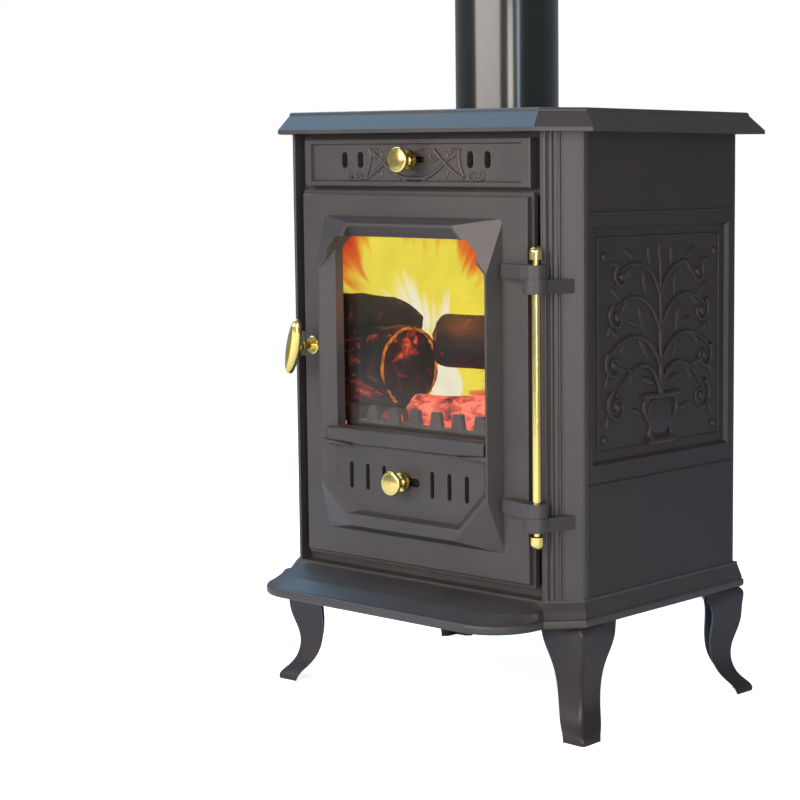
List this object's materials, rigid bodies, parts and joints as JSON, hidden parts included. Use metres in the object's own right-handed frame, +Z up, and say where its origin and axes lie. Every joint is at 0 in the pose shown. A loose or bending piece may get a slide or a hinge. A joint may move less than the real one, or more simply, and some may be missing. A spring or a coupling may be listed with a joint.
{
  "type": "wood cookstove",
  "caption": "Cast-iron wood cookstove on cabriole legs, with a glazed door that swings, sliding air vents, a turning door handle and a top flue.",
  "frame": {"origin": "on the floor, below the middle of the whole object's box", "axes": "+Z up, the door faces -Y, and +X is on the right of a person who faces the door"},
  "size_m": [0.5068, 0.434, 0.867],
  "materials": {
    "black_iron": "cast iron under matt black stove paint, fine sand-cast grain",
    "dark_steel": "blackened sheet and bar steel",
    "polished_brass": "polished brass",
    "fire_brick": "dry fire brick",
    "enamelled_pipe": "glossy black enamelled steel",
    "stove_glass": "clear ceramic stove glass",
    "seal_rope": "black glass-fibre rope and tape"
  },
  "bodies": {
    "stove": {"base_plate": "black_iron", "top_plate": "black_iron", "flue_collar": "black_iron", "front_frame": "black_iron", "right_pilaster": "black_iron", "left_pilaster": "black_iron", "right_side_panel": "black_iron", "left_side_panel": "black_iron", "back_panel": "black_iron", "rear_blanking_plate": "black_iron", "upper_vent_panel": "black_iron", "firebox_floor": "black_iron", "grate": "black_iron", "log_fence": "black_iron", "baffle_plate": "black_iron", "front_left_leg": "black_iron", "front_right_leg": "black_iron", "rear_left_leg": "black_iron", "rear_right_leg": "black_iron", "collar_screws": "dark_steel", "blanking_plate_bolts": "dark_steel", "tie_rods": "dark_steel", "leg_bolts": "dark_steel", "ash_shelf": "dark_steel", "ash_pan": "dark_steel", "hinge_rod": "polished_brass", "upper_finial": "polished_brass", "lower_finial": "polished_brass", "right_liner": "fire_brick", "left_liner": "fire_brick", "rear_liner": "fire_brick", "flue_pipe": "enamelled_pipe"},
    "door": {"door": "black_iron", "glass_gasket": "seal_rope", "door_glass": "stove_glass", "glass_clips": "dark_steel", "clip_screws": "dark_steel", "door_rope_seal": "seal_rope", "lower_vent_guides": "dark_steel", "handle_escutcheon": "polished_brass"},
    "upper_vent": {"upper_vent_slider": "dark_steel", "upper_vent_knob": "polished_brass"},
    "lower_vent": {"lower_vent_slider": "dark_steel", "lower_vent_knob": "polished_brass"},
    "handle": {"door_handle": "polished_brass", "latch_cam": "dark_steel"}
  },
  "joints": [
    {"name": "door_hinge", "type": "hinge", "parent": "stove", "child": "door", "pos_m": [0.203, -0.149, 0.39], "axis": [0, 0, 1], "range_deg": [0, 105]},
    {"name": "upper_vent_slide", "type": "slide", "parent": "stove", "child": "upper_vent", "axis": [1, 0, 0], "range_m": [0, 0.013]},
    {"name": "lower_vent_slide", "type": "slide", "parent": "door", "child": "lower_vent", "axis": [1, 0, 0], "range_m": [0, 0.022]},
    {"name": "handle_turn", "type": "hinge", "parent": "door", "child": "handle", "pos_m": [-0.168, -0.139, 0.43], "axis": [0, 1, 0], "range_deg": [0, 80]}
  ]
}
